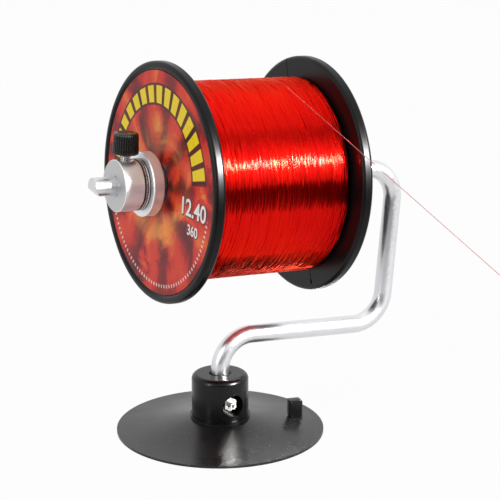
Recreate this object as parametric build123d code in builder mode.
from build123d import *
import os
from math import cos, radians, sin, sqrt, tan

# Fishing line winder: a bulk spool of line on a cranked rod that stands on a suction cup.
# Frame: origin at the middle of the cup's sealing face, +Z up, the shaft over +Y and -Y,
# with its free end towards -Y. All sizes are in millimetres.

os.makedirs("parts", exist_ok=True)

# ---- driving dimensions ----------------------------------------------------------------

# fits and small gaps
running_clearance = 0.05  # radial, between a part that turns or slides and its shaft
seat_clearance = 0.02  # radial, between parts that stay together
free_gap = 0.3  # between bodies that pass each other

# suction cup
cup_diameter = 91.4
cup_rim_thickness = 1.0
cup_top_height = 5.9  # where the hollow top face starts, under the hub's lip
cup_middle_radius = 27.0
cup_middle_height = 2.9
cup_seal_width = 6.5
cup_dish_depth = 0.8
neck_diameter = 26.0
hub_base_height = 6.5
tab_reach = 34.6  # from the cup's axis to the middle of the release tab
tab_angle = 76.0
tab_width = 6.3
tab_thickness = 3.4
tab_height = 9.4
tab_inner_round = 2.9  # top corner towards the hub
tab_outer_round = 1.8
tab_edge_fillet = 0.5

# hub that holds the arm
hub_diameter = 25.0
hub_height = 19.7
hub_fillet = 2.5
hub_lip_diameter = 26.6
hub_lip_height = 0.9
hub_mouth_diameter = 9.8
hub_mouth_depth = 1.6
side_hole_diameter = 10.0
side_hole_height = 14.4
side_hole_floor = 7.0  # distance from the hub's axis

# stud that joins the hub to the cup
stud_diameter = 6.0
stud_head_diameter = 14.0
stud_head_thickness = 1.4
stud_head_height = 2.0
stud_engagement = 4.3

# cranked rod
rod_diameter = 8.0
bend_radius = 14.5
foot_height = 11.4
run_height = 42.9  # where the lower run's line meets the foot's axis
run_drop = 4.9  # degrees
crank_reach = 84.0
upright_lean = 5.2  # degrees
shaft_height = 114.2  # where the shaft's axis crosses the foot's axis
shaft_rise = 3.9  # degrees, towards the free end
free_end = 59.9  # from the foot's axis, along the shaft
end_bevel = 3.0
foot_groove_depth = 0.8
foot_groove_width = 3.2

# retaining screw and lock nut in the hub's side
hub_screw_diameter = 3.0
hub_screw_tip_diameter = 2.0
hub_screw_tip_length = 0.8
hub_screw_end = 12.0
hub_nut_flats = 5.5
hub_nut_thickness = 2.4
hub_socket_flats = 1.5
hub_socket_depth = 1.5

# spool
flange_diameter = 102.2
flange_thickness = 5.1
flange_edge_fillet = 1.5
spool_front = 30.0  # front face of the spool, along the shaft from the foot's axis
spool_width = 75.3
spool_bore = 16.0
label_diameter = 94.6
label_recess = 1.0
label_thickness = 0.25
rear_recess = 2.2
rear_rim_width = 3.6
rear_boss_diameter = 34.0
rear_rib_count = 8
rear_rib_width = 1.8
spigot_depth = 3.0
spigot_wall = 2.0
drum_diameter = 70.6
drum_wall = 2.3
hub_tube_wall = 2.4
web_count = 6
web_thickness = 1.8
label_bevel = 1.3  # radial, round the label's recess
clip_slit_width = 0.4
clip_slit_angle = 110.0
clip_hole_angle = -71.0
clip_hole_width = 1.2
clip_hole_length = 2.2
clip_hole_reach = 47.6

# line on the spool; in its top layer each modelled turn is a flat band of neighbouring turns
line_diameter = 0.3
winding_diameter = 84.4
winding_end_gap = 0.3
winding_rear_fillet = 2.4
layer_turns = 22
band_width = 2.1
band_top_width = 1.2
band_height = 0.6
tail_plane = -23.7  # place of the free line along the shaft
tail_fall = 14.8  # degrees below level
tail_length = 168.0
knot_diameter = 1.2
knot_length = 2.6
loop_length = 9.0
loop_width = 3.0

# cones, washers and collars on the shaft
cone_disc_diameter = 27.2
cone_disc_thickness = 5.2
cone_gap = 3.0  # from the spool's face to the disc
cone_taper_length = 9.0
cone_tip_diameter = 13.4
washer_thickness = 0.5
washer_count = 5
collar_diameter = 21.8
collar_length = 9.1
collar_chamfer = 0.4
collar_mouth_diameter = 9.4
collar_mouth_depth = 0.7
stop_screw_diameter = 4.0
stop_socket_flats = 2.0
stop_socket_depth = 2.0

# thumbscrew
thumb_thread_diameter = 4.0
thumb_seat_diameter = 7.2
thumb_seat_depth = 1.3
knob_diameter = 11.0
knob_top_diameter = 10.4
knob_height = 9.0
knob_lift = 2.5  # from the collar to the knob
knob_fillet = 1.1
knob_rib_count = 40
knob_groove_diameter = 0.5
thumb_insert_length = 6.0

# ---- places worked out from them -------------------------------------------------------

rise = radians(shaft_rise)
forward = Vector(0, -cos(rise), sin(rise))
upward = Vector(0, sin(rise), cos(rise))
shaft_origin = Vector(0, 0, shaft_height)
shaft_axis = Axis(shaft_origin, forward)
shaft_plane = Plane(origin=shaft_origin, x_dir=(1, 0, 0), z_dir=forward)
profile_plane = Plane(origin=shaft_origin, x_dir=upward, z_dir=(1, 0, 0))  # radius, distance

hub_top = hub_base_height + hub_height
bore_radius = rod_diameter / 2 + running_clearance
spool_rear = spool_front - spool_width
drum_front = spool_front - flange_thickness
drum_rear = spool_rear + flange_thickness
winding_radius = winding_diameter / 2
disc_front = spool_front + cone_gap + cone_disc_thickness
collar_rear = disc_front + washer_count * washer_thickness
collar_front = collar_rear + collar_length
collar_middle = (collar_rear + collar_front) / 2
rear_disc_back = spool_rear - cone_gap - cone_disc_thickness
stop_front = rear_disc_back - washer_thickness
stop_rear = stop_front - collar_length
stop_middle = (stop_front + stop_rear) / 2


def finish(part, name):
    part.label = name
    export_step(part, f"parts/{name}.step")


# ---- base: suction cup, stud, hub, retaining screw and nut -----------------------------

cup_radius = cup_diameter / 2
with BuildPart() as suction_cup:
    with BuildSketch(Plane.XZ):
        with BuildLine():
            ThreePointArc(
                (neck_diameter / 2, cup_top_height),
                (cup_middle_radius, cup_middle_height),
                (cup_radius, cup_rim_thickness),
            )
            Polyline(
                (cup_radius, cup_rim_thickness),
                (cup_radius, 0),
                (cup_radius - cup_seal_width, 0),
                (0, cup_dish_depth),
                (0, hub_base_height),
                (neck_diameter / 2, hub_base_height),
                (neck_diameter / 2, cup_top_height),
            )
        make_face()
    revolve(axis=Axis.Z)
    # release tab, moulded on the top face: a rounded tongue whose width lies along a radius
    radial = Vector(1, 0, 0).rotate(Axis.Z, tab_angle)
    tab_plane = Plane(origin=(0, 0, cup_rim_thickness / 2), x_dir=radial, z_dir=radial.cross(Vector(0, 0, 1)))
    with BuildSketch(tab_plane) as tab_profile:
        with Locations((tab_reach, 0)):
            Rectangle(tab_width, tab_height + cup_rim_thickness / 2, align=(Align.CENTER, Align.MIN))
        tab_corners = tab_profile.vertices().group_by(Axis.Z)[-1].sort_by(Axis(Vector(), radial))
        fillet(tab_corners[0], tab_inner_round)
        fillet(tab_profile.vertices().sort_by(Axis(Vector(), radial + Vector(0, 0, 1)))[-1], tab_outer_round)
    extrude(amount=tab_thickness / 2, both=True)
    tab_sides = suction_cup.faces().filter_by(tab_plane).sort_by(Axis(Vector(), tab_plane.z_dir))
    for tab_side in (tab_sides[0], tab_sides[-1]):
        above_cup = tab_side.edges().filter_by(lambda edge: (edge @ 0.5).Z > hub_base_height / 2)
        fillet(above_cup, tab_edge_fillet)
    # room for the stud that is moulded in
    with BuildSketch(Plane.XY.offset(stud_head_height)):
        Circle(stud_head_diameter / 2 + seat_clearance)
    extrude(amount=stud_head_thickness, mode=Mode.SUBTRACT)
    with BuildSketch(Plane.XY.offset(stud_head_height)):
        Circle(stud_diameter / 2 + seat_clearance)
    extrude(amount=hub_base_height - stud_head_height, mode=Mode.SUBTRACT)
finish(suction_cup.part, "suction_cup")

with BuildPart() as cup_stud:
    with BuildSketch(Plane.XY.offset(stud_head_height)):
        Circle(stud_head_diameter / 2)
    extrude(amount=stud_head_thickness)
    with BuildSketch(Plane.XY.offset(stud_head_height)):
        Circle(stud_diameter / 2)
    extrude(amount=hub_base_height + stud_engagement - stud_head_height)
    stud_top = cup_stud.faces().sort_by(Axis.Z)[-1]
    chamfer(stud_top.edges(), 0.5)
finish(cup_stud.part, "cup_stud")

side_plane = Plane(origin=(0, 0, side_hole_height), x_dir=(0, 1, 0), z_dir=(1, 0, 0))
with BuildPart() as base_hub:
    with BuildSketch(Plane.XY.offset(hub_base_height)):
        Circle(hub_diameter / 2)
    extrude(amount=hub_height)
    hub_rim = base_hub.faces().sort_by(Axis.Z)[-1].edges()
    fillet(hub_rim, hub_fillet)
    with BuildSketch(Plane.XY.offset(hub_base_height)):
        Circle(hub_lip_diameter / 2)
    extrude(amount=hub_lip_height)
    # bore for the rod's foot, with its countersunk mouth
    with Locations(Plane.XY.offset(hub_top)):
        Hole(bore_radius, hub_top - foot_height)
    with BuildSketch(Plane.XY.offset(hub_top)):
        Circle(hub_mouth_diameter / 2)
    with BuildSketch(Plane.XY.offset(hub_top - hub_mouth_depth)):
        Circle(bore_radius)
    loft(mode=Mode.SUBTRACT)
    # tapped hole for the stud, from below
    with BuildSketch(Plane.XY.offset(hub_base_height)):
        Circle(stud_diameter / 2 + seat_clearance)
    extrude(amount=foot_height - hub_base_height, mode=Mode.SUBTRACT)
    # side counterbore for the nut and tapped hole for the retaining screw
    with BuildSketch(side_plane.offset(side_hole_floor)):
        Circle(side_hole_diameter / 2)
    extrude(amount=hub_diameter / 2, mode=Mode.SUBTRACT)
    with BuildSketch(side_plane):
        Circle(hub_screw_diameter / 2 + seat_clearance)
    extrude(amount=side_hole_floor + 1, mode=Mode.SUBTRACT)
finish(base_hub.part, "base_hub")

foot_groove_radius = rod_diameter / 2 - foot_groove_depth
screw_tip = foot_groove_radius + free_gap
with BuildPart() as hub_screw:
    with BuildSketch(side_plane.offset(screw_tip)):
        Circle(hub_screw_tip_diameter / 2)
    extrude(amount=hub_screw_tip_length)
    with BuildSketch(side_plane.offset(screw_tip + hub_screw_tip_length)):
        Circle(hub_screw_diameter / 2)
    extrude(amount=hub_screw_end - screw_tip - hub_screw_tip_length)
    with BuildSketch(side_plane.offset(hub_screw_end - hub_socket_depth)):
        RegularPolygon(hub_socket_flats / 2, 6, major_radius=False)
    extrude(amount=hub_socket_depth, mode=Mode.SUBTRACT)
finish(hub_screw.part, "hub_retaining_screw")

with BuildPart() as hub_nut:
    with BuildSketch(side_plane.offset(side_hole_floor)):
        RegularPolygon(hub_nut_flats / 2, 6, major_radius=False, rotation=30)
        Circle(hub_screw_diameter / 2 + seat_clearance, mode=Mode.SUBTRACT)
    extrude(amount=hub_nut_thickness)
finish(hub_nut.part, "hub_lock_nut")

# ---- arm: cranked rod, rear stop collar with its screw, washers -------------------------

# Corners of the rod's centre line in the plane of the crank, as (y, z).
run_corner_z = run_height - crank_reach * tan(radians(run_drop))
lean = tan(radians(upright_lean))
top_corner_y = (crank_reach + (shaft_height - run_corner_z) * lean) / (1 + tan(rise) * lean)
top_corner_z = shaft_height - top_corner_y * tan(rise)
end_point = shaft_origin + forward * free_end

with BuildPart() as arm_rod:
    with BuildLine(Plane.YZ):
        FilletPolyline(
            (0, foot_height + running_clearance),
            (0, run_height),
            (crank_reach, run_corner_z),
            (top_corner_y, top_corner_z),
            (end_point.Y, end_point.Z),
            radius=bend_radius,
        )
    with BuildSketch(Plane.XY.offset(foot_height + running_clearance)):
        Circle(rod_diameter / 2)
    sweep()
    # groove in the foot, where the retaining screw's tip runs
    with BuildSketch(Plane.XY.offset(side_hole_height - foot_groove_width / 2)):
        Circle(rod_diameter)
        Circle(foot_groove_radius, mode=Mode.SUBTRACT)
    extrude(amount=foot_groove_width, mode=Mode.SUBTRACT)
    # one-sided bevel under the shaft's free end
    with BuildSketch(profile_plane):
        with BuildLine():
            Polyline(
                (-rod_diameter / 2 + end_bevel, free_end + 1),
                (-rod_diameter / 2 + end_bevel, free_end),
                (-rod_diameter / 2, free_end - end_bevel),
                (-rod_diameter, free_end - end_bevel),
                (-rod_diameter, free_end + 1),
                close=True,
            )
        make_face()
    extrude(amount=rod_diameter, both=True, mode=Mode.SUBTRACT)
finish(arm_rod.part, "arm_rod")

with BuildPart() as stop_collar:
    with BuildSketch(shaft_plane.offset(stop_rear)):
        Circle(collar_diameter / 2)
        Circle(rod_diameter / 2 + seat_clearance, mode=Mode.SUBTRACT)
    extrude(amount=collar_length)
    outer_edges = stop_collar.edges().filter_by(GeomType.CIRCLE).group_by(SortBy.RADIUS)[-1]
    chamfer(outer_edges, collar_chamfer)
    with BuildSketch(Plane(origin=shaft_origin + forward * stop_middle, x_dir=(1, 0, 0), z_dir=upward)):
        Circle(stop_screw_diameter / 2 + seat_clearance)
    extrude(amount=collar_diameter, mode=Mode.SUBTRACT)
finish(stop_collar.part, "rear_stop_collar")

stop_screw_plane = Plane(origin=shaft_origin + forward * stop_middle, x_dir=(1, 0, 0), z_dir=upward)
stop_screw_start = rod_diameter / 2 + seat_clearance
stop_screw_end = collar_diameter / 2 - collar_chamfer
with BuildPart() as stop_screw:
    with BuildSketch(stop_screw_plane.offset(stop_screw_start)):
        Circle(stop_screw_diameter / 2)
    extrude(amount=stop_screw_end - stop_screw_start)
    with BuildSketch(stop_screw_plane.offset(stop_screw_end - stop_socket_depth)):
        RegularPolygon(stop_socket_flats / 2, 6, major_radius=False)
    extrude(amount=stop_socket_depth, mode=Mode.SUBTRACT)
finish(stop_screw.part, "rear_stop_screw")

with BuildPart() as rear_washer:
    with BuildSketch(shaft_plane.offset(stop_front)):
        Circle(collar_diameter / 2)
        Circle(bore_radius, mode=Mode.SUBTRACT)
    extrude(amount=washer_thickness)
finish(rear_washer.part, "rear_friction_washer")

# Friction washers between the front cone and the locking collar: fibre, steel, fibre, steel, fibre.
for number in range(washer_count):
    kind = "fibre" if number % 2 == 0 else "steel"
    with BuildPart() as washer:
        with BuildSketch(shaft_plane.offset(disc_front + number * washer_thickness)):
            Circle(collar_diameter / 2)
            Circle(bore_radius, mode=Mode.SUBTRACT)
        extrude(amount=washer_thickness)
    finish(washer.part, f"{kind}_washer_{number // 2 + 1}")

# ---- spool: two flanges, core, label, wound line, cones ----------------------------------

drum_inner = drum_diameter / 2 - drum_wall
spigot_outer = drum_inner - seat_clearance
flange_radius = flange_diameter / 2


with BuildPart() as front_flange:
    with BuildSketch(shaft_plane.offset(drum_front)):
        Circle(flange_radius)
    extrude(amount=flange_thickness)
    with BuildSketch(shaft_plane.offset(drum_front)):
        Circle(spigot_outer)
        Circle(spigot_outer - spigot_wall, mode=Mode.SUBTRACT)
    extrude(amount=-spigot_depth)
    rim_edges = front_flange.edges().filter_by(GeomType.CIRCLE).group_by(SortBy.RADIUS)[-1]
    fillet(rim_edges, flange_edge_fillet)
    with BuildSketch(shaft_plane.offset(spool_front)):
        Circle(label_diameter / 2 + seat_clearance + label_bevel)
    with BuildSketch(shaft_plane.offset(spool_front - label_recess)):
        Circle(label_diameter / 2 + seat_clearance)
    loft(mode=Mode.SUBTRACT)
    with BuildSketch(shaft_plane.offset(spool_front)):
        Circle(spool_bore / 2)
    extrude(amount=-flange_thickness - spigot_depth, mode=Mode.SUBTRACT)
finish(front_flange.part, "spool_front_flange")

with BuildPart() as rear_flange:
    with BuildSketch(shaft_plane.offset(spool_rear)):
        Circle(flange_radius)
    extrude(amount=flange_thickness)
    with BuildSketch(shaft_plane.offset(drum_rear)):
        Circle(spigot_outer)
        Circle(spigot_outer - spigot_wall, mode=Mode.SUBTRACT)
    extrude(amount=spigot_depth)
    rim_edges = rear_flange.edges().filter_by(GeomType.CIRCLE).group_by(SortBy.RADIUS)[-1]
    fillet(rim_edges, flange_edge_fillet)
    # recessed outer face with a boss round the bore and radial ribs
    with BuildSketch(shaft_plane.offset(spool_rear)):
        Circle(flange_radius - rear_rim_width)
        Circle(rear_boss_diameter / 2, mode=Mode.SUBTRACT)
        with PolarLocations(flange_radius / 2, rear_rib_count):
            Rectangle(flange_radius, rear_rib_width, mode=Mode.SUBTRACT)
    extrude(amount=rear_recess, mode=Mode.SUBTRACT)
    with BuildSketch(shaft_plane.offset(spool_rear)):
        Circle(flange_radius - rear_rim_width)
        Circle(rear_boss_diameter / 2, mode=Mode.SUBTRACT)
    extrude(amount=label_recess, mode=Mode.SUBTRACT)
    with BuildSketch(shaft_plane.offset(spool_rear)):
        Circle(spool_bore / 2)
    extrude(amount=flange_thickness + spigot_depth, mode=Mode.SUBTRACT)
    # slit and tear-drop hole that hold the line's end, both running in under the winding
    with BuildSketch(shaft_plane.offset(spool_rear)):
        with PolarLocations(0, 1, start_angle=clip_slit_angle):
            with Locations(((flange_radius + winding_radius) / 2 + 1, 0)):
                Rectangle(flange_radius - winding_radius + 2, clip_slit_width)
        with PolarLocations(0, 1, start_angle=clip_hole_angle):
            with Locations((clip_hole_reach, 0)):
                SlotOverall(clip_hole_length, clip_hole_width)
            with Locations(((clip_hole_reach + winding_radius) / 2, 0)):
                Rectangle(clip_hole_reach - winding_radius, clip_slit_width)
    extrude(amount=flange_thickness, mode=Mode.SUBTRACT)
finish(rear_flange.part, "spool_rear_flange")

with BuildPart() as core:
    with BuildSketch(shaft_plane.offset(drum_rear)):
        Circle(drum_diameter / 2)
        Circle(drum_inner, mode=Mode.SUBTRACT)
    extrude(amount=drum_front - drum_rear)
    with BuildSketch(shaft_plane.offset(drum_rear)):
        Circle(spool_bore / 2 + hub_tube_wall)
        Circle(spool_bore / 2, mode=Mode.SUBTRACT)
    extrude(amount=drum_front - drum_rear)
    with BuildSketch(shaft_plane.offset(drum_rear + spigot_depth + free_gap)):
        web_inner = spool_bore / 2 + hub_tube_wall / 2
        web_outer = drum_inner + drum_wall / 2
        with PolarLocations((web_inner + web_outer) / 2, web_count, start_angle=15):
            Rectangle(web_outer - web_inner, web_thickness)
    extrude(amount=drum_front - drum_rear - 2 * (spigot_depth + free_gap))
finish(core.part, "spool_core")

with BuildPart() as label:
    with BuildSketch(shaft_plane.offset(spool_front - label_recess)):
        Circle(label_diameter / 2)
        Circle(spool_bore / 2 + 1, mode=Mode.SUBTRACT)
    extrude(amount=label_thickness)
finish(label.part, "front_label")

bulk_radius = winding_radius - band_height
bulk_front = drum_front - winding_end_gap
bulk_rear = drum_rear + winding_end_gap
rear_round = min(winding_rear_fillet, (bulk_radius - drum_diameter / 2) * 0.8)
with BuildPart() as winding:
    with BuildSketch(shaft_plane.offset(bulk_rear)):
        Circle(bulk_radius)
        Circle(drum_diameter / 2, mode=Mode.SUBTRACT)
    extrude(amount=bulk_front - bulk_rear)
    rear_edge = winding.edges().filter_by(GeomType.CIRCLE).sort_by(shaft_axis)[:2].sort_by(SortBy.RADIUS)[-1]
    fillet(rear_edge, rear_round)
finish(winding.part, "line_winding")

# The line's top layer, one unbroken helix over the bulk. Each half turn is a half circle in a
# tilted plane, and neighbouring half circles share their tangent.
layer_radius = bulk_radius + seat_clearance
layer_rear = bulk_rear + rear_round + band_width / 2
layer_front = bulk_front - band_width / 2 - winding_end_gap
half_pitch = (layer_front - layer_rear) / layer_turns / 2
crest_radius = sqrt(layer_radius**2 + half_pitch**2 / 4)
with BuildLine(shaft_plane.offset(layer_rear)) as layer_axis:
    Line((0, 0, 0), (0, 0, 2 * layer_turns * half_pitch))
with BuildPart() as top_layer:
    with BuildLine(shaft_plane.offset(layer_rear)) as layer_path:
        Line((layer_radius, -band_width, 0), (layer_radius, 0, 0))
        for half_turn in range(2 * layer_turns):
            side = 1 if half_turn % 2 == 0 else -1
            start_z = half_turn * half_pitch
            ThreePointArc(
                (side * layer_radius, 0, start_z),
                (0, side * crest_radius, start_z + half_pitch / 2),
                (-side * layer_radius, 0, start_z + half_pitch),
            )
        last_z = 2 * layer_turns * half_pitch
        Line((layer_radius, 0, last_z), (layer_radius, band_width, last_z))
    # band section: x is the height above the bulk, y runs along the shaft
    with BuildSketch(Plane(origin=layer_path.line @ 0, x_dir=(1, 0, 0), z_dir=layer_path.line % 0)):
        with BuildLine():
            Polyline(
                (0, -band_width / 2),
                (band_height - seat_clearance, -band_top_width / 2),
                (band_height - seat_clearance, band_top_width / 2),
                (0, band_width / 2),
                close=True,
            )
        make_face()
    sweep(binormal=layer_axis.edges()[0])  # keeps the band flat on the bulk
finish(top_layer.part, "line_top_layer")

# Least gap between neighbouring turns, measured on points of the wire's centre line.
layer_points = [layer_path.line @ (step / 4000) for step in range(4001)]
least_gap = min(
    (layer_points[first] - layer_points[second]).length
    for first in range(0, 4001, 25)
    for second in range(first + 90, min(first + 280, 4001))
) - band_width
print(f"line_top_layer: {layer_turns} turns, least gap to itself {least_gap:.2f} mm")

taper_slope = (cone_tip_diameter - spool_bore) / 2 / (cone_taper_length - cone_gap)
taper_root = spool_bore / 2 - taper_slope * cone_gap
for name, disc_face, direction in (
    ("front_cone", spool_front + cone_gap, 1),
    ("rear_cone", spool_rear - cone_gap, -1),
):
    with BuildPart() as cone:
        with BuildSketch(shaft_plane.offset(disc_face)):
            Circle(cone_disc_diameter / 2)
        extrude(amount=direction * cone_disc_thickness)
        disc_edges = cone.edges().filter_by(GeomType.CIRCLE)
        chamfer(disc_edges, collar_chamfer)
        with BuildSketch(shaft_plane.offset(disc_face)):
            Circle(taper_root - free_gap / 4)
        with BuildSketch(shaft_plane.offset(disc_face - direction * cone_taper_length)):
            Circle(cone_tip_diameter / 2 - free_gap / 4)
        loft()
        with BuildSketch(shaft_plane.offset(disc_face + direction * cone_disc_thickness)):
            Circle(bore_radius)
        extrude(amount=-direction * (cone_disc_thickness + cone_taper_length), mode=Mode.SUBTRACT)
    finish(cone.part, name)

# ---- locking collar and thumbscrew ------------------------------------------------------

thumb_plane = Plane(origin=shaft_origin + forward * collar_middle, x_dir=(1, 0, 0), z_dir=upward)
collar_radius = collar_diameter / 2
with BuildPart() as locking_collar:
    with BuildSketch(shaft_plane.offset(collar_rear)):
        Circle(collar_radius)
        Circle(bore_radius, mode=Mode.SUBTRACT)
    extrude(amount=collar_length)
    outer_edges = locking_collar.edges().filter_by(GeomType.CIRCLE).group_by(SortBy.RADIUS)[-1]
    chamfer(outer_edges, collar_chamfer)
    with BuildSketch(shaft_plane.offset(collar_front)):
        Circle(collar_mouth_diameter / 2)
    with BuildSketch(shaft_plane.offset(collar_front - collar_mouth_depth)):
        Circle(bore_radius)
    loft(mode=Mode.SUBTRACT)
    with BuildSketch(thumb_plane):
        Circle(thumb_thread_diameter / 2 + running_clearance)
    extrude(amount=collar_diameter, mode=Mode.SUBTRACT)
    # countersunk mouth of the tapped hole
    with BuildSketch(thumb_plane.offset(collar_radius)):
        Circle(thumb_seat_diameter / 2)
    with BuildSketch(thumb_plane.offset(collar_radius - thumb_seat_depth)):
        Circle(thumb_thread_diameter / 2 + running_clearance)
    loft(mode=Mode.SUBTRACT)
finish(locking_collar.part, "locking_collar")

knob_bottom = collar_radius + knob_lift
with BuildPart() as thumb_screw:
    with BuildSketch(thumb_plane.offset(rod_diameter / 2 + free_gap)):
        Circle(thumb_thread_diameter / 2)
    extrude(amount=knob_bottom + thumb_insert_length - rod_diameter / 2 - free_gap)
    thread_ends = thumb_screw.edges().filter_by(GeomType.CIRCLE)
    chamfer(thread_ends, 0.4)
finish(thumb_screw.part, "thumb_screw")

with BuildPart() as thumb_knob:
    with BuildSketch(thumb_plane.offset(knob_bottom)):
        Circle(knob_diameter / 2)
    with BuildSketch(thumb_plane.offset(knob_bottom + knob_height)):
        Circle(knob_top_diameter / 2)
    loft()
    knob_top = thumb_knob.faces().filter_by(GeomType.PLANE).sort_by(Axis(shaft_origin, upward))[-1]
    fillet(knob_top.edges(), knob_fillet)
    # fine grip grooves round the side
    with BuildSketch(thumb_plane.offset(knob_bottom)):
        with PolarLocations(knob_diameter / 2 + knob_groove_diameter / 6, knob_rib_count):
            RegularPolygon(knob_groove_diameter / 2, 4)
    extrude(amount=knob_height - knob_fillet, mode=Mode.SUBTRACT)
    with BuildSketch(thumb_plane.offset(knob_bottom)):
        Circle(thumb_thread_diameter / 2 + seat_clearance)
    extrude(amount=thumb_insert_length + seat_clearance, mode=Mode.SUBTRACT)
finish(thumb_knob.part, "thumb_knob")

# ---- free line, pulled off the spool and held taut ---------------------------------------

tail_radius = winding_radius + free_gap + line_diameter / 2
fall = radians(tail_fall)
tail_start = Vector(tail_radius * sin(fall), tail_radius * cos(fall), 0)
tail_direction = Vector(cos(fall), -sin(fall), 0)
tail_end = tail_start + tail_direction * tail_length
tail_local = shaft_plane.offset(tail_plane)
tail_exit = tail_local.from_local_coords(tail_start)
tail_tip = tail_local.from_local_coords(tail_end)
tail_heading = (tail_tip - tail_exit).normalized()

with BuildPart() as line_tail:
    with BuildLine() as tail_path:
        Line(tail_exit, tail_tip)
    with BuildSketch(Plane(origin=tail_exit, x_dir=forward, z_dir=tail_heading)):
        Circle(line_diameter / 2)
    sweep()
finish(line_tail.part, "line_tail")
print(f"line_tail: {tail_length:.1f} mm from {tail_exit} to {tail_tip}")

knot_plane = Plane(origin=tail_tip, x_dir=forward, z_dir=tail_heading)
loop_plane = Plane(origin=tail_tip, x_dir=tail_heading, z_dir=tail_heading.cross(forward))
with BuildPart() as tail_knot:
    with BuildSketch(knot_plane):
        Circle(knot_diameter / 2)
    extrude(amount=knot_length)
    chamfer(tail_knot.edges().filter_by(GeomType.CIRCLE), knot_diameter / 4)
    loop_start = knot_length - knot_diameter / 4
    loop_end = knot_length + loop_length
    with BuildLine(loop_plane) as loop_path:
        FilletPolyline(
            (loop_start, line_diameter),
            (loop_end - loop_width, loop_width / 2),
            (loop_end, loop_width / 2),
            (loop_end, -loop_width / 2),
            (loop_end - loop_width, -loop_width / 2),
            (loop_start, -line_diameter),
            radius=loop_width * 0.45,
        )
    with BuildSketch(Plane(origin=loop_path.line @ 0, z_dir=loop_path.line % 0)):
        RegularPolygon(line_diameter / 2, 6)
    sweep()
finish(tail_knot.part, "line_tail_knot")
